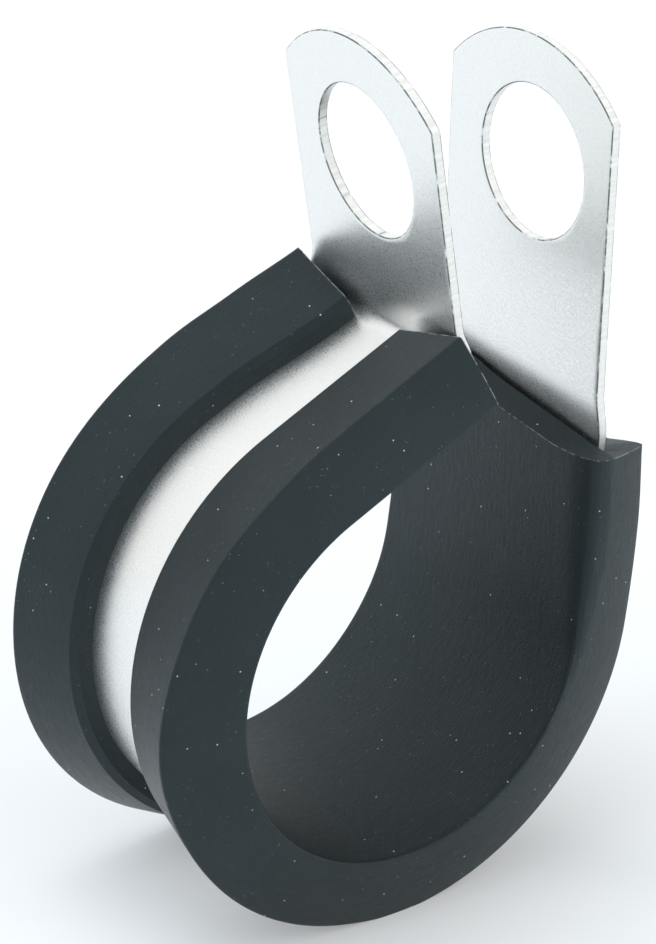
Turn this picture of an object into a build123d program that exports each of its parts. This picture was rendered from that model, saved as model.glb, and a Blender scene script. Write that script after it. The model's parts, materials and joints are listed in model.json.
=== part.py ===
"""P clip: a zinc-plated steel strip with two bolt ears, and the rubber channel that lines it.

Millimetres. The origin is the centre of the lined bore, with +Y along the bore and +Z
towards the ears. The clip stands open, as it leaves the press.
"""
import os
from math import radians, sqrt, tan

from build123d import *

# Steel strip
band_width = 16.0
band_thickness = 0.65

# Ears
bolt_hole = 10.2
tip_radius = 10.7  # arc across the end of each ear
tip_drop = 2.3  # centre of that arc, below the bolt hole
ear_reach = 9.0  # from the foot of each ear's flat up to the bolt hole

# Path of the strip, from one ear to the other
straight_shank = 10.3  # from the flare to the flat of the straight ear
flare_radius = 85.0  # slight opening between the loop and the straight ear
flare_angle = 7.1
run_angle = 115.2  # where the loop ends and the flat run up to the bent ear starts
run_length = 11.3
bend_radius = 1.0  # inside the tight bend at the foot of the bent ear
bend_angle = 75.2
bent_shank = 2.05  # from the bend to the flat of the bent ear

# Section of the rubber liner
bore_radius = 13.1
web_thickness = 1.6
liner_width = 20.1  # at the bore
liner_top_width = 17.4  # at the outer corners of the two lips
side_bow = 0.15  # bulge of the liner's two side faces
groove_width = 6.1  # bare steel between the lips
lip_height = 1.4  # above the strip, at the groove
lip_outer_height = 2.95  # above the strip, at the outer corners
groove_bevel = 0.4  # along the groove side of each lip
edge_bevel = 0.15  # along the liner's other long edges
slot_clearance = 0.05  # between the rubber and the steel, all round

# Ends of the rubber liner
straight_lap = 2.4  # rubber past the flare, up the straight ear
lip_step = 0.8  # the lips stop this much short of the web there
bend_lap = 1.0  # rubber past the start of the tight bend, under the bent ear
lip_trim_angle = 8.0  # the lips end there in a shallow V

half_strip = band_thickness / 2
loop_radius = bore_radius + web_thickness + half_strip
loop_angle = 360 - run_angle - flare_angle

# Mid-line of the strip, seen along the bore
with BuildLine(Plane.XZ) as band_line:
    loop = CenterArc((0, 0), loop_radius, run_angle, loop_angle)
    flare = JernArc(loop @ 1, loop % 1, flare_radius + half_strip, flare_angle)
    shank = Line(flare @ 1, flare @ 1 + (flare % 1) * straight_shank)
    run = Line(loop @ 0, loop @ 0 - (loop % 0) * run_length)
    bend = JernArc(run @ 1, run % 1, bend_radius + half_strip, bend_angle)
    short_shank = Line(bend @ 1, bend @ 1 + (bend % 1) * bent_shank)


def strip(clearance=0.0, mode=Mode.ADD):
    """The strip between its two ears, or the space that the rubber leaves for it."""
    side = Face(band_line.wire().offset_2d(half_strip + clearance))
    extrude(side, band_width / 2 + clearance, both=True, mode=mode)


def ear(foot, rise):
    """One flat ear on the end of the strip: arched tip, two shoulders and a bolt hole."""
    flat = Plane(origin=foot, x_dir=(0, 1, 0), z_dir=Vector(0, 1, 0).cross(rise))
    half_width = band_width / 2
    shoulder = ear_reach - tip_drop + sqrt(tip_radius**2 - half_width**2)
    with BuildSketch(flat.offset(-half_strip)) as outline:
        with BuildLine():
            Polyline((half_width, shoulder), (half_width, 0), (-half_width, 0), (-half_width, shoulder))
            RadiusArc((-half_width, shoulder), (half_width, shoulder), tip_radius)
        make_face()
        with Locations((0, ear_reach)):
            Circle(bolt_hole / 2, mode=Mode.SUBTRACT)
    extrude(outline.sketch, band_thickness)


def channel(station):
    """Section of the liner: local x points away from the bore, local y runs along it."""
    bore_edge = (-half_strip - web_thickness, liner_width / 2)
    top_edge = (half_strip + lip_outer_height, liner_top_width / 2)
    groove_edge = (half_strip + lip_height, groove_width / 2)
    with BuildSketch(station) as section:
        with BuildLine():
            Polyline((0, 0), (bore_edge[0], 0), bore_edge)
            SagittaArc(bore_edge, top_edge, side_bow)
            Polyline(top_edge, groove_edge, (0, groove_edge[1]), (0, 0))
        make_face()
        mirror(about=Plane.XZ)
        across = section.vertices().group_by(Axis.X)
        chamfer(across[0] + across[-1], edge_bevel)
        chamfer(across[-2], groove_bevel)
    return section.sketch


def straight_step(station):
    """Outer part of the liner's section, cut away so that the lips stop short of the web."""
    with BuildSketch(station) as step:
        Rectangle(half_strip + lip_outer_height, liner_width, align=(Align.MIN, Align.CENTER))
    return step.sketch


def bend_notch():
    """Shallow V across both lips under the bent ear, drawn on the strip's mid-surface."""
    edge = liner_top_width / 2
    apex = bend_lap - edge * tan(radians(lip_trim_angle))
    with BuildSketch(Plane(run @ 1, x_dir=(0, -1, 0), z_dir=loop @ 0)) as notch:
        with BuildLine():
            Polyline((-edge, bend_lap), (0, apex), (edge, bend_lap), close=True)
        make_face()
    return notch.sketch


with BuildPart() as steel_band:
    strip()
    ear(shank @ 1, shank % 1)
    ear(short_shank @ 1, short_shank % 1)

with BuildPart() as rubber_liner:
    along_bore = (0, -1, 0)
    loop_start = Plane(loop @ 0, x_dir=loop @ 0, z_dir=loop % 0)
    revolve(channel(loop_start), Axis((0, 0, 0), along_bore), loop_angle)
    flare_start = Plane(loop @ 1, x_dir=loop @ 1, z_dir=loop % 1)
    revolve(channel(flare_start), Axis(flare.arc_center, along_bore), flare_angle)
    shank_start = Plane(flare @ 1, x_dir=(1, 0, 0), z_dir=flare % 1)
    extrude(channel(shank_start), straight_lap)
    extrude(straight_step(shank_start.offset(straight_lap - lip_step)), lip_step, mode=Mode.SUBTRACT)
    extrude(channel(loop_start), -run_length - bend_lap)
    extrude(bend_notch(), half_strip + lip_outer_height, mode=Mode.SUBTRACT)
    strip(slot_clearance, Mode.SUBTRACT)

steel_band.part.label = "steel_band"
rubber_liner.part.label = "rubber_liner"
os.makedirs("parts", exist_ok=True)
export_step(steel_band.part, "parts/steel_band.step")
export_step(rubber_liner.part, "parts/rubber_liner.step")
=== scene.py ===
"""Looks of the P clip: a bright zinc-plated strip and the black rubber channel pressed over it.

Lengths are millimetres until a mesh or the camera is made. A place on either piece is its
station (along the strip's mid-line, from the start of the loop towards the straight ear), its
height (outwards from that line, away from the bore) and its y.
"""
import json
from math import atan2, pi, radians, sqrt, tan

import bpy
import numpy as np
from mathutils import Matrix, Vector


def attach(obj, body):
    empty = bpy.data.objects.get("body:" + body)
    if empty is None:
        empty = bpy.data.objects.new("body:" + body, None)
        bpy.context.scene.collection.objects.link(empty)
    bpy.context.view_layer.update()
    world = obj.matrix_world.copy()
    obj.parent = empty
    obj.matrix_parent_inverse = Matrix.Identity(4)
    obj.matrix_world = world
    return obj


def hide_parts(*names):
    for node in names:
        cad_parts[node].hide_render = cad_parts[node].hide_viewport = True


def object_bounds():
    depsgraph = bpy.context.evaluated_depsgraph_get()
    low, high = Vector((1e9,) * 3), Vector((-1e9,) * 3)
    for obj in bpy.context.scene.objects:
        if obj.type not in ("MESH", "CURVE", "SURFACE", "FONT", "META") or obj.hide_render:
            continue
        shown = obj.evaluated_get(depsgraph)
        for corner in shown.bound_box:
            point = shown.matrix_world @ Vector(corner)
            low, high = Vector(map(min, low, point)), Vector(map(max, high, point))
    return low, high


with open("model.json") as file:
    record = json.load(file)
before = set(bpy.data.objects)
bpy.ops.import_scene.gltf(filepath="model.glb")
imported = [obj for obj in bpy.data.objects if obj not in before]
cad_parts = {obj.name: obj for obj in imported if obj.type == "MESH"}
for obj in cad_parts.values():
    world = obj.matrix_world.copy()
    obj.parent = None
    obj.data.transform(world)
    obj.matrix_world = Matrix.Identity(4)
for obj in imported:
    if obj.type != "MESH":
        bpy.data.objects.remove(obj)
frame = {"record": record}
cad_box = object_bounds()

MM = 0.001
mounts = {mount["name"]: mount for mount in frame["record"]["mounts"]}

# Strip and ears
band_width = 16.0
band_thickness = 0.65
bolt_radius = mounts["straight_bolt_hole"]["dims"]["r_mm"]
tip_radius = 10.7
tip_drop = 2.3
ear_reach = 9.0
straight_hole_offset = -0.45  # the straight ear's hole is punched off the strip's middle
straight_shank = 10.3
flare_radius = 85.0
flare_angle = radians(7.1)
run_angle = radians(115.2)
run_length = 11.3
bend_radius = 1.0
bend_angle = radians(75.2)
bent_shank = 2.05
bent_ear_twist = radians(-3.0)  # the bent ear is pressed slightly askew
stand_off = 0.4  # the strip stands this far off the web where the rubber ends on the straight ear
stand_off_length = 3.2  # it dies out this far either way
stand_off_past = 0.3  # and it is highest this far past the end of the rubber
burr_width = 0.07  # of the thin line where a face meets a cut edge

# Liner
bore_radius = mounts["lined_bore"]["dims"]["r_mm"]
web_thickness = 1.6
liner_width = 20.1
liner_top_width = 17.4
side_bow = 0.15
groove_width = 6.1
groove_offset = 0.65  # the groove between the lips lies off the liner's middle
lip_height = 1.4
lip_outer_height = 2.95
groove_bevel = 0.4
edge_radius = 0.2
straight_lap = 2.4
lip_step = 0.8
bend_lap = 1.0
lip_trim_angle = radians(8.0)
end_blend = 3.0  # the trimmed ends draw the sweep's stations with them over this length
low_spot = -5.9  # y at which the cut on the straight ear lies lowest, along the bore
worn_from, worn_length = 54.0, 18.0  # the bore's front corner opens into a wide round from here on
worn_on_bore, worn_on_side = 3.0, 1.5  # how far that round reaches at the straight end

# Camera and floor
camera_place = (-144.55, -190.10, 126.00)
camera_right = (0.80348, -0.59472, 0.02704)
camera_up = (0.24054, 0.36586, 0.89905)
lens = 159.7
floor_half = 4000.0

# The floor's diffuse colour, and its emission to camera, glossy and transmission rays
floor_colour, floor_lift = 0.56, 0.27

# Soft lights of the studio: direction, strength, sharpness and colour
neutral, cool = (0.97, 1.0, 1.0), (0.82, 0.94, 1.05)
soft_lights = [((-0.05, 0.18, 0.98), 6.0, 26, neutral),
               ((-0.13, -0.64, 0.75), 1.7, 14, neutral),
               ((-0.45, 0.15, 0.87), 2.2, 20, cool),
               ((-0.87, 0.0, 0.5), 2.8, 12, cool),
               ((0.0, 0.87, 0.5), 1.25, 12, cool),
               ((0.0, 1.0, 0.1), 2.0, 12, cool),
               ((-0.5, 0.7, 0.5), 1.1, 15, neutral),
               ((0.34, 0.72, 0.6), 2.0, 30, cool),
               ((0.7, 0.7, 0.1), 1.3, 15, cool),
               ((1.0, -0.2, 0.1), 2.8, 12, neutral),
               ((0.7, -0.7, 0.2), 2.4, 8, neutral)]

half_strip = band_thickness / 2
loop_radius = bore_radius + web_thickness + half_strip
loop_length = loop_radius * (2 * pi - run_angle - flare_angle)
flare_length = (flare_radius + half_strip) * flare_angle
bend_length = (bend_radius + half_strip) * bend_angle
bent_foot = -run_length - bend_length - bent_shank
straight_foot = loop_length + flare_length + straight_shank
bore_height = -half_strip - web_thickness
rim_height = half_strip + lip_outer_height
slot_edge = band_width / 2
sheared_slot, burr_slot = 1, 2  # of the strip's materials, after the plate


# ---- Mid-lines in the XZ plane, as complex numbers x + iz ----

def advance(point, heading, curvature, length):
    """Where a span of constant curvature leads after a length, which may be negative."""
    turn = np.exp(1j * curvature * length)
    step = (turn - 1) / (1j * curvature) if curvature else length
    return point + heading * step, heading * turn


def mid_line(before_run):
    """Spans (first station, point, heading, curvature), with those given laid out before the run."""
    start = loop_radius * np.exp(1j * run_angle), 1j * np.exp(1j * run_angle)
    spans, station, place_now = [], 0.0, start
    for length, curvature in [(run_length, 0.0)] + before_run:
        station -= length
        place_now = advance(*place_now, curvature, -length)
        spans.insert(0, (station, *place_now, curvature))
    station, place_now = 0.0, start
    flare_curvature = 1 / (flare_radius + half_strip)
    for length, curvature in [(loop_length, 1 / loop_radius), (flare_length, flare_curvature), (0.0, 0.0)]:
        spans.append((station, *place_now, curvature))
        station += length
        place_now = advance(*place_now, curvature, length)
    return spans


strip_line = mid_line([(bend_length, -1 / (bend_radius + half_strip)), (bent_shank, 0.0)])
liner_line = mid_line([])


def place(spans, station, height, y):
    """Points in 3-D for arrays of stations, heights and y."""
    station, height, y = np.broadcast_arrays(station, height, y)
    number = np.searchsorted([span[0] for span in spans], station, side="right") - 1
    flat = np.zeros(station.shape, complex)
    for index, (first, point, heading, curvature) in enumerate(spans):
        here, along = advance(point, heading, curvature, station - first)
        flat = np.where(np.maximum(number, 0) == index, here - 1j * along * height, flat)
    return np.stack([flat.real, y, flat.imag], -1)


def smooth(x):
    """Goes from 0 to 1, level at both ends, as x goes from 0 to 1."""
    x = np.clip(x, 0, 1)
    return x * x * (3 - 2 * x)


# ---- Meshes ----

def make_piece(name, points, faces, material_of_face, materials, attributes):
    """A smooth-shaded mesh object in metres, with one attribute per point for each given name."""
    mesh = bpy.data.meshes.new(name)
    mesh.from_pydata((np.asarray(points) * MM).tolist(), [], faces)
    for material in materials:
        mesh.materials.append(material)
    mesh.polygons.foreach_set("material_index", material_of_face)
    mesh.polygons.foreach_set("use_smooth", [True] * len(faces))
    for key, values in attributes.items():
        layer = mesh.attributes.new(key, "FLOAT_VECTOR", "POINT")
        layer.data.foreach_set("vector", np.asarray(values, np.float32).ravel())
    mesh.validate()
    piece = bpy.data.objects.new(name, mesh)
    bpy.context.scene.collection.objects.link(piece)
    return piece


def soften(piece, angle=30):
    """Marks the edges sharper than an angle, so that smooth shading stops at them."""
    piece.data.set_sharp_from_angle(angle=radians(angle))
    return piece


# ---- Strip ----

def ear_rings(hole_offset, divisions=180, levels=14):
    """One ear in its own plane, as rings from the bolt hole out to its outline.

    Each point is (rise above the hole, y). The first ring is the hole and the last the outline.
    """
    edge = band_width / 2
    shoulder = sqrt(tip_radius**2 - edge**2) - tip_drop
    corners = [atan2(edge, shoulder), atan2(edge, -ear_reach)]
    angles = np.linspace(-pi, pi, divisions, endpoint=False)
    angles = np.unique(np.concatenate([angles, corners, [-corner for corner in corners]]))
    c, s = np.cos(angles), np.sin(angles)
    with np.errstate(divide="ignore"):
        foot = np.where(c < 0, -ear_reach / c, np.inf)
        side = edge / np.abs(s)
    tip = -tip_drop * c + np.sqrt((tip_drop * c)**2 - tip_drop**2 + tip_radius**2)
    outline = np.minimum(np.minimum(foot, side), tip)
    share = np.linspace(0, 1, levels)[:, None]
    radius = bolt_radius + (outline - bolt_radius) * share
    return radius * c, radius * s + hole_offset * (1 - share)


def strip_mesh():
    """The strip's mid-surface: faces over (station, y), with the same y at both feet."""
    points, faces, feet = [], [], []
    for foot, way, hole_offset in ((bent_foot, -1, 0.0), (straight_foot, 1, straight_hole_offset)):
        rise, y = ear_rings(hole_offset)
        levels, count = rise.shape
        at_foot = np.where(np.isclose(rise[-1], -ear_reach))[0]
        at_foot = at_foot[np.argsort(y[-1, at_foot])]
        base = len(points)
        points += list(zip((foot + way * (ear_reach + rise)).ravel(), y.ravel()))
        for level in range(levels - 1):
            for k in range(count):
                a, b = base + level * count + k, base + level * count + (k + 1) % count
                face = (a, b, b + count, a + count)
                faces.append(face if way < 0 else face[::-1])
        feet.append([base + (levels - 1) * count + k for k in at_foot])
    spans = ((bent_foot, -run_length - bend_length, 6), (-run_length - bend_length, -run_length, 16),
             (-run_length, 0.0, 24), (0.0, loop_length, 150), (loop_length, straight_foot, 44))
    stations = np.unique(np.concatenate([np.linspace(*span) for span in spans]))[1:-1]
    previous = feet[0]
    for station in stations:
        row = list(range(len(points), len(points) + len(at_foot)))
        points += [(station, y[-1, k]) for k in at_foot]
        faces += [(previous[k], row[k], row[k + 1], previous[k + 1]) for k in range(len(row) - 1)]
        previous = row
    last = feet[1]
    faces += [(previous[k], last[k], last[k + 1], previous[k + 1]) for k in range(len(last) - 1)]
    return np.array(points), faces


def build_strip(plate, sheared, burr):
    points, faces = strip_mesh()
    station, y = points.T
    turned = bent_ear_twist * smooth((-run_length - bend_length - station) / bent_shank)
    past_rubber = station - loop_length - flare_length - straight_lap - stand_off_past
    lifted = stand_off * (1 - smooth(np.abs(past_rubber) / stand_off_length))
    placed = place(strip_line, station, lifted + y * np.sin(turned), y * np.cos(turned))
    blank = np.stack([station, y, np.zeros(len(points))], -1)
    strip = make_piece("steel_strip", placed, faces, [0] * len(faces), [plate, sheared, burr],
                       {"blank": blank})
    sheet = strip.modifiers.new("sheet", "SOLIDIFY")
    sheet.thickness = band_thickness * MM
    sheet.offset = 0
    sheet.use_even_offset = True
    sheet.material_offset_rim = sheared_slot
    round_over = strip.modifiers.new("round_over", "BEVEL")
    round_over.width = burr_width * MM
    round_over.segments = 2
    round_over.material = burr_slot
    round_over.limit_method = "ANGLE"
    round_over.angle_limit = radians(50)
    round_over.harden_normals = False
    return strip


# ---- Liner ----

def half_section(side):
    """Half of the liner's outline, as heights and y, from the slot's floor round to the bore's middle.

    side is 1 for the rear half and -1 for the front one. A corner with a radius is rounded, and one
    with a negative radius is cut off straight.
    """
    groove_edge = groove_width / 2 + side * groove_offset
    corners = [((-half_strip, 0), 0), ((-half_strip, slot_edge), 0), ((half_strip, slot_edge), 0),
               ((half_strip, groove_edge), 0), ((half_strip + lip_height, groove_edge), -groove_bevel),
               ((rim_height, liner_top_width / 2), edge_radius),
               ((bore_height, liner_width / 2), edge_radius), ((bore_height, 0), 0)]
    line = []
    for index, (corner, radius) in enumerate(corners):
        corner = np.array(corner, float)
        if radius == 0:
            line.append(corner)
            continue
        before = np.array(corners[index - 1][0], float) - corner
        after = np.array(corners[index + 1][0], float) - corner
        before, after = before / np.linalg.norm(before), after / np.linalg.norm(after)
        half_angle = np.arccos(before @ after) / 2
        reach = abs(radius) / (1 if radius < 0 else tan(half_angle))
        first, last = corner + before * reach, corner + after * reach
        if radius < 0:
            line += [first, last]
        else:
            share = np.linspace(0, 1, 5)[:, None]
            line += list((1 - share)**2 * first + 2 * share * (1 - share) * corner + share**2 * last)
    return np.array(line) * (1, side)


def divided(line, step):
    """The same line with points added so that none are further apart than a step."""
    points = [line[0]]
    for a, b in zip(line[:-1], line[1:]):
        count = max(1, int(np.ceil(np.linalg.norm(b - a) / step)))
        points += [a + (b - a) * k / count for k in range(1, count + 1)]
    return np.array(points)


def bowed(half, side):
    """The same half of the outline with its side face bulging slightly."""
    top = np.array([rim_height, side * liner_top_width / 2])
    chord = np.array([bore_height, side * liner_width / 2]) - top
    length = np.linalg.norm(chord)
    outwards = np.array([-chord[1], chord[0]]) * -side / length
    along = (half - top) @ chord / length**2
    on_side = (along > 0) & (along < 1) & (np.abs((half - top) @ outwards) < edge_radius)
    bulge = np.where(on_side, 4 * side_bow * along * (1 - along), 0)
    return half + bulge[:, None] * outwards


def liner_outline(step=0.36):
    """The whole section, closed: its points, and their distance round it from the bore's middle.

    The last result numbers the points of each half, from the slot's floor round to the bore.
    """
    rear, front = [bowed(divided(half_section(side), step), side) for side in (1, -1)]
    outline = np.concatenate([rear, front[-2:0:-1]])
    reach = [np.cumsum(np.linalg.norm(np.diff(half[::-1], axis=0), axis=1)) for half in (rear, front)]
    round_it = np.concatenate([reach[0][::-1], [0.0], -reach[1][:-1]])
    return outline, round_it, [np.arange(len(rear)), -np.arange(len(front)) % len(outline)]


def stitched(inner, outer, flat):
    """Triangles that fill the strip between two chains of points."""
    triangles, i, j = [], 0, 0
    while i < len(inner) - 1 or j < len(outer) - 1:
        inner_step = outer_step = np.inf
        if i < len(inner) - 1:
            inner_step = np.linalg.norm(flat[inner[i + 1]] - flat[outer[j]])
        if j < len(outer) - 1:
            outer_step = np.linalg.norm(flat[inner[i]] - flat[outer[j + 1]])
        if inner_step < outer_step:
            triangles.append((inner[i], inner[i + 1], outer[j]))
            i += 1
        else:
            triangles.append((inner[i], outer[j + 1], outer[j]))
            j += 1
    return triangles


def end_faces(outline, halves):
    """Triangles that tile the cut end, all turned the same way."""
    faces = []
    for half in halves:
        foot = int(np.argmax(outline[half, 0] > half_strip + 1e-6)) - 1
        for a, b, c in stitched(half[:foot + 1], half[foot + 1:][::-1], outline):
            ahead, other = outline[b] - outline[a], outline[c] - outline[a]
            turn = ahead[0] * other[1] - ahead[1] * other[0]
            faces.append((int(a), int(b), int(c)) if turn > 0 else (int(a), int(c), int(b)))
    return faces


def bent_end(height, y):
    """Station of the liner's end under the bent ear, where the lips are cut in a shallow V."""
    trim = np.maximum(liner_top_width / 2 - np.abs(y), 0) * tan(lip_trim_angle)
    return -run_length - bend_lap + np.where(height > 0, trim, 0)


def straight_end(height, y):
    """Station of the liner's end up the straight ear, where the cut slopes down from the metal."""
    across = np.abs(y)
    bore = straight_lap - 0.38 + 0.09 * np.maximum(y - low_spot, 0) + 0.04 * np.maximum(low_spot - y, 0)
    metal = straight_lap + 0.1 * np.clip(y + 8, 0, 13) + 0.28 * smooth((y - 1) / 4)
    back = straight_lap - lip_step + 0.1
    outer = back + 0.05 - 0.6 * smooth((liner_top_width / 2 - across) / 4)
    web = bore + (metal - bore) * np.clip((height - bore_height) / (-half_strip - bore_height), 0, 1)
    lip = back + (outer - back) * smooth(height - half_strip)
    side = bore + (outer - bore) * np.clip((height - bore_height) / (rim_height - bore_height), 0, 1)
    lap = np.where(across > slot_edge + 0.05, side, np.where(height < 0, web, lip))
    return loop_length + flare_length + lap


def hump(x, middle, reach):
    """A smooth bump along x, 1 high at its middle."""
    return np.exp(-((x - middle) / reach)**2)


def settled(station, outline):
    """Heights and y of the sweep once pressing it on has left it slightly uneven.

    The rear lip closes towards the bent ear, and both rims wander. Each term is a shift in
    millimetres, at the stations where this sample shows it.
    """
    height, y = outline.T
    side_share = np.clip((height - bore_height) / (rim_height - bore_height), 0, 1)
    lip_share = np.clip((height - half_strip) / (rim_height - half_strip), 0, 1)
    rise = np.where(np.abs(y) > slot_edge + 0.01, side_share, lip_share)
    groove_edge = groove_width / 2 + np.sign(y) * groove_offset
    to_rim = np.clip((np.abs(y) - groove_edge) / (liner_top_width / 2 - groove_edge), 0, 1)
    fading = smooth((station.max() - 2 - station) / 6)
    closing = -smooth((-2 - station) / 9) * (1 - to_rim) * (height > 0)
    rear_rim = 0.42 * hump(station, -2.5, 3.5) - 0.5 * smooth((-7 - station) / 6) \
        - 0.22 * hump(station, 18, 7)
    rear_bore = 0.3 * smooth((station - 42) / 14) * fading * smooth((y - 6) / 3) * (1 - side_share)
    front_rim = 0.45 * hump(station, 18, 4.5) - 0.35 * hump(station, 3, 3.5) \
        + 0.18 * smooth((station - 37) / 5) * fading
    return (height + np.where(y < 0, front_rim * to_rim * rise, 0),
            y + np.where(y > 0, closing + rear_rim * to_rim * rise + rear_bore, 0))


def worn_open(station, height, y, round_it):
    """The same points with the bore's front corner opened into a round towards the straight end."""
    past_corner = -round_it - liner_width / 2
    down_side = Vector((rim_height - bore_height, (liner_width - liner_top_width) / 2)).normalized()
    opening = smooth((station - worn_from) / worn_length)
    near = np.where(past_corner > 0, worn_on_side, worn_on_bore) * opening
    inside = np.abs(past_corner) < near
    q = np.abs(past_corner) / np.maximum(near, 1e-6)
    own, other = (1 + q)**2 / 4, (1 - q)**2 / 4
    along_side = np.where(past_corner > 0, own, other) * worn_on_side * opening
    along_bore = np.where(past_corner > 0, other, own) * worn_on_bore * opening
    return (np.where(inside, bore_height + along_side * down_side[0], height),
            np.where(inside, -liner_width / 2 + along_side * down_side[1] + along_bore, y))


def build_liner(rubber, cut_rubber, step=0.3):
    outline, round_it, halves = liner_outline()
    first, last = bent_end(*outline.T), straight_end(*outline.T)
    count = len(outline)
    stations = np.linspace(first.min(), last.max(), int((last.max() - first.min()) / step))
    near_first = 1 - smooth((stations - stations[0]) / end_blend)
    near_last = 1 - smooth((stations[-1] - stations) / end_blend)
    grid = stations[:, None] + near_first[:, None] * (first - stations[0]) \
        + near_last[:, None] * (last - stations[-1])
    placed = place(liner_line, grid, *worn_open(grid, *settled(grid, outline), round_it))
    rows = len(stations)
    faces = []
    for base in range(0, (rows - 1) * count, count):
        for k in range(count):
            follow = (k + 1) % count
            faces.append((base + k, base + follow, base + count + follow, base + count + k))
    slots = [0] * len(faces)
    top = (rows - 1) * count
    for a, b, c in end_faces(outline, halves):
        faces += [(a, b, c), (top + a, top + c, top + b)]
        slots += [1, 1]
    from_end = np.minimum(grid - grid[0], grid[-1] - grid)
    sweep = np.stack([grid, np.broadcast_to(round_it, grid.shape), from_end], -1)
    liner = make_piece("rubber_channel", placed.reshape(-1, 3), faces, slots,
                       [rubber, cut_rubber], {"sweep": sweep})
    return soften(liner)


# ---- Materials ----

class Material:
    """A material whose nodes are added by short calls."""

    def __init__(self, name):
        self.data = bpy.data.materials.new(name)
        self.data.use_nodes = True
        self.nodes = self.data.node_tree.nodes
        self.links = self.data.node_tree.links
        self.shader = self.nodes["Principled BSDF"]

    def node(self, kind, inputs=None, **settings):
        made = self.nodes.new("ShaderNode" + kind)
        for key, value in settings.items():
            setattr(made, key, value)
        for key, value in (inputs or {}).items():
            self.put(made.inputs[key], value)
        return made

    def put(self, socket, value):
        if isinstance(value, bpy.types.NodeSocket):
            self.links.new(value, socket)
        else:
            socket.default_value = value

    def shade(self, **inputs):
        for key, value in inputs.items():
            self.put(self.shader.inputs[key.replace("_", " ")], value)

    def math(self, operation, *values):
        made = self.node("Math", operation=operation)
        for socket, value in zip(made.inputs, values):
            self.put(socket, value)
        return made.outputs[0]

    def noise(self, vector, scale, detail=3.0, roughness=0.5):
        made = self.node("TexNoise", {"Vector": vector, "Scale": scale, "Detail": detail,
                                      "Roughness": roughness})
        return made.outputs["Fac"]

    def stretched(self, vector, scales):
        return self.node("Mapping", {"Vector": vector, "Scale": scales}).outputs["Vector"]

    def place_mm(self):
        """The place on the object in millimetres, so that texture scales are per millimetre."""
        return self.stretched(self.node("TexCoord").outputs["Object"], (1 / MM, 1 / MM, 1 / MM))

    def range(self, value, low, high, to_low=0.0, to_high=1.0):
        made = self.node("MapRange", {"Value": value, "From Min": low, "From Max": high,
                                      "To Min": to_low, "To Max": to_high})
        return made.outputs["Result"]

    def mix(self, factor, a, b):
        made = self.node("Mix", {"Factor": factor}, data_type="RGBA")
        colour = [socket for socket in made.inputs if socket.type == "RGBA"]
        self.put(colour[0], a)
        self.put(colour[1], b)
        return [socket for socket in made.outputs if socket.type == "RGBA"][0]

    def bump(self, height, distance):
        made = self.node("Bump", {"Height": height, "Distance": distance * MM, "Strength": 1.0})
        return made.outputs["Normal"]


def rubber_material(name, edge_highlight_strength):
    """Black rubber: streaks along the sweep, fine grain, dust specks, and a painted highlight along its cut
    ends.
    """
    m = Material(name)
    place_mm = m.place_mm()
    sweep = m.node("Attribute", attribute_name="sweep").outputs["Vector"]
    streaks = m.noise(m.stretched(sweep, (0.10, 3.2, 1.0)), 1.0, 6.0, 0.68)
    grain = m.noise(place_mm, 10.0, 4.0, 0.7)
    patches = m.noise(place_mm, 0.25, 3.0, 0.5)
    tone = m.mix(m.range(patches, 0.35, 0.65), (0.0045, 0.006, 0.006, 1), (0.0075, 0.0095, 0.0095, 1))
    near = m.node("TexVoronoi", {"Vector": place_mm, "Scale": 1.1})
    chosen = m.math("GREATER_THAN", m.noise(near.outputs["Position"], 3.7, 0.0), 0.52)
    specks = m.math("MULTIPLY", m.range(near.outputs["Distance"], 0.075, 0.045), chosen)
    fine = m.node("TexVoronoi", {"Vector": place_mm, "Scale": 2.6})
    fine_chosen = m.math("GREATER_THAN", m.noise(fine.outputs["Position"], 2.9, 0.0), 0.58)
    fine_specks = m.math("MULTIPLY", m.range(fine.outputs["Distance"], 0.11, 0.05), fine_chosen)
    dust = m.math("MULTIPLY", m.range(m.noise(place_mm, 6.0, 2.0), 0.70, 0.76),
                  m.range(m.noise(place_mm, 0.35, 2.0), 0.5, 0.65))
    from_end = m.node("SeparateXYZ", {"Vector": sweep}).outputs["Z"]
    # Painted highlight: a pale line along the sweep's cut ends, where the sharp cut edge catches the light.
    painted_edge_highlight = m.math("MULTIPLY", m.range(from_end, 0.07, 0.02),
                   m.range(m.noise(place_mm, 2.5, 3.0), 0.42, 0.55))
    pale = m.math("ADD", m.math("MULTIPLY", painted_edge_highlight, edge_highlight_strength),
                  m.math("MULTIPLY", m.math("ADD", dust, fine_specks), 0.35))
    # Real dust specks together with the painted highlight on the cut edges.
    dust_and_edge_highlight = m.math("MINIMUM", m.math("ADD", specks, pale), 1.0)
    m.shade(Base_Color=m.mix(dust_and_edge_highlight, tone, (0.62, 0.65, 0.65, 1)), Specular_IOR_Level=0.5,
            Specular_Tint=(0.64, 0.90, 1.0, 1),
            Roughness=m.range(m.math("ADD", streaks, grain), 0.7, 1.3, 0.30, 0.46),
            Normal=m.bump(m.math("ADD", streaks, grain), 0.05))
    return m.data


def zinc_material(name):
    """Satin zinc plate: bright, with fine speckle and a faint lilac cast in part of it."""
    m = Material(name)
    place_mm = m.place_mm()
    speckle = m.noise(place_mm, 14.0, 3.0, 0.7)
    patches = m.noise(place_mm, 0.6, 4.0, 0.6)
    dull = m.range(speckle, 0.42, 0.6)
    m.shade(Base_Color=m.mix(dull, (0.89, 0.90, 0.86, 1), (0.87, 0.87, 0.89, 1)), Metallic=1.0,
            Roughness=m.range(dull, 0.0, 1.0, 0.26, 0.42),
            Normal=m.bump(m.math("ADD", speckle, m.math("MULTIPLY", patches, 2.0)), 0.007))
    return m.data


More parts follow.
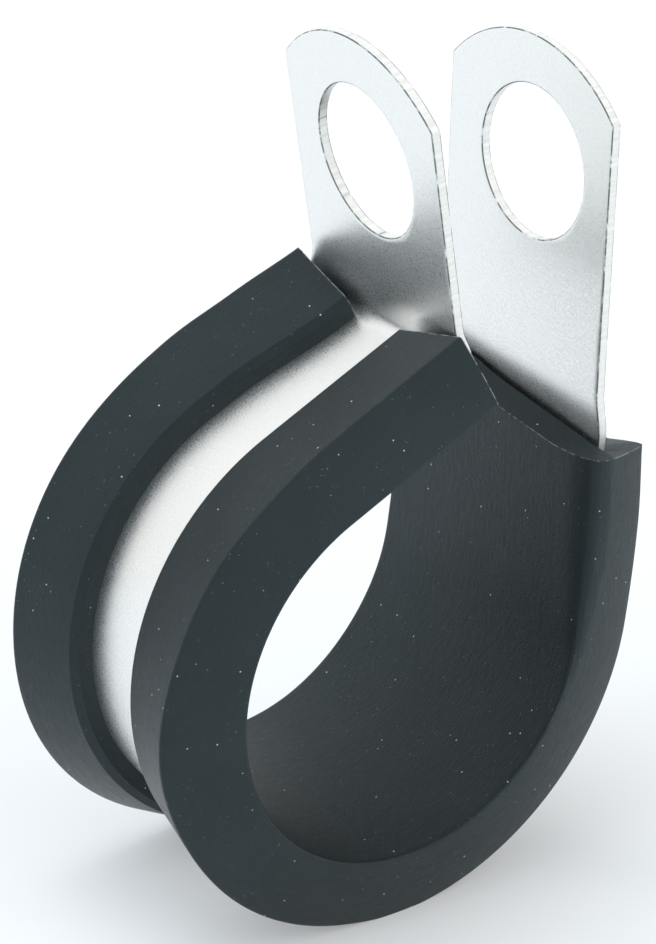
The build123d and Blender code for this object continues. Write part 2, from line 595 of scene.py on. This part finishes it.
def sheared_material(name):
    """The strip's cut edges: paler and duller than its faces, with marks across them."""
    m = Material(name)
    place_mm = m.place_mm()
    blank = m.node("Attribute", attribute_name="blank").outputs["Vector"]
    marks = m.noise(m.stretched(blank, (3.5, 3.5, 0.0)), 1.0, 4.0, 0.7)
    grain = m.noise(place_mm, 10.0, 3.0, 0.6)
    smears = m.noise(m.stretched(blank, (0.5, 0.5, 0.0)), 1.0, 5.0, 0.7)
    bare = m.mix(m.range(marks, 0.38, 0.62), (0.80, 0.80, 0.77, 1), (0.95, 0.95, 0.92, 1))
    m.shade(Base_Color=m.mix(m.range(smears, 0.60, 0.68), bare, (0.30, 0.31, 0.33, 1)), Metallic=0.8,
            Roughness=m.range(grain, 0.3, 0.7, 0.35, 0.5),
            Normal=m.bump(m.math("ADD", marks, grain), 0.015))
    return m.data


def burr_material(name):
    """The thin line where a face meets a cut edge: dark where the shear rolled it, bright elsewhere."""
    m = Material(name)
    place_mm = m.place_mm()
    broken = m.noise(place_mm, 0.9, 5.0, 0.75)
    m.shade(Base_Color=m.mix(m.range(broken, 0.5, 0.62), (0.16, 0.17, 0.18, 1), (0.85, 0.87, 0.86, 1)),
            Metallic=0.9, Roughness=0.42, Normal=m.bump(broken, 0.02))
    return m.data


# ---- Stage, light and camera ----

def build_floor():
    """A pale floor that is white in open light, to the camera and in reflections, and keeps the shadow."""
    m = Material("floor_white")
    rays = m.node("LightPath").outputs
    mirrored = m.math("ADD", rays["Is Glossy Ray"], rays["Is Transmission Ray"])
    m.shade(Base_Color=(floor_colour, floor_colour, floor_colour, 1), Roughness=0.9, Specular_IOR_Level=0.0,
            Emission_Color=(1, 1, 1, 1),
            Emission_Strength=m.math("MULTIPLY", m.math("ADD", rays["Is Camera Ray"], mirrored), floor_lift))
    low = cad_box[0].z
    mesh = bpy.data.meshes.new("floor")
    half = floor_half * MM
    mesh.from_pydata([(-half, -half, low), (half, -half, low), (half, half, low), (-half, half, low)], [],
                     [(0, 1, 2, 3)])
    mesh.materials.append(m.data)
    floor = bpy.data.objects.new("floor", mesh)
    bpy.context.scene.collection.objects.link(floor)


def build_world():
    """White to the camera and in reflections. Soft lights round the clip do the lighting."""
    world = bpy.data.worlds.new("studio")
    bpy.context.scene.world = world
    world.use_nodes = True
    nodes, links = world.node_tree.nodes, world.node_tree.links

    def math(operation, first, second):
        made = nodes.new("ShaderNodeMath")
        made.operation = operation
        links.new(first, made.inputs[0])
        if isinstance(second, bpy.types.NodeSocket):
            links.new(second, made.inputs[1])
        else:
            made.inputs[1].default_value = second
        return made.outputs[0]

    direction = nodes.new("ShaderNodeTexCoord").outputs["Generated"]
    total = None
    for towards, strength, sharpness, colour in soft_lights:
        facing = nodes.new("ShaderNodeVectorMath")
        facing.operation = "DOT_PRODUCT"
        links.new(direction, facing.inputs[0])
        facing.inputs[1].default_value = Vector(towards).normalized()
        falloff = math("POWER", math("MAXIMUM", facing.outputs["Value"], 0.0), sharpness)
        glow = nodes.new("ShaderNodeVectorMath")
        glow.operation = "SCALE"
        glow.inputs[0].default_value = Vector(colour) * strength
        links.new(falloff, glow.inputs["Scale"])
        if total is None:
            total = glow.outputs[0]
            continue
        add = nodes.new("ShaderNodeVectorMath")
        links.new(total, add.inputs[0])
        links.new(glow.outputs[0], add.inputs[1])
        total = add.outputs[0]
    rays = nodes.new("ShaderNodeLightPath").outputs
    reflected = math("MAXIMUM", rays["Is Glossy Ray"], rays["Is Transmission Ray"])
    switch = nodes.new("ShaderNodeMix")
    switch.data_type = "RGBA"
    factor, lit, background = [socket for socket in switch.inputs if socket.enabled]
    links.new(math("MAXIMUM", rays["Is Camera Ray"], reflected), factor)
    links.new(total, lit)
    background.default_value = (1, 1, 1, 1)
    chosen = [socket for socket in switch.outputs if socket.enabled][0]
    links.new(chosen, nodes["Background"].inputs["Color"])


def build_camera():
    data = bpy.data.cameras.new("view")
    data.lens = lens
    data.sensor_width = 36
    camera = bpy.data.objects.new("view", data)
    right, up = Vector(camera_right).normalized(), Vector(camera_up)
    back = right.cross(up).normalized()
    up = back.cross(right)
    camera.matrix_world = Matrix.Translation(Vector(camera_place) * MM) @ \
        Matrix((right, up, back)).transposed().to_4x4()
    bpy.context.scene.collection.objects.link(camera)
    bpy.context.scene.camera = camera


plate = zinc_material("zinc_plate")
strip = build_strip(plate, sheared_material("sheared_edge"), burr_material("rolled_corner"))
# The extruded rubber gets the painted highlight along its cut ends; the cut faces get none.
liner = build_liner(rubber_material("extruded_rubber", 0.6), rubber_material("cut_rubber", 0.0))
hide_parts("steel_band")
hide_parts("rubber_liner")
for piece in (strip, liner):
    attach(piece, "root")
build_floor()
build_world()
build_camera()
bpy.context.scene.view_settings.view_transform = "Standard"
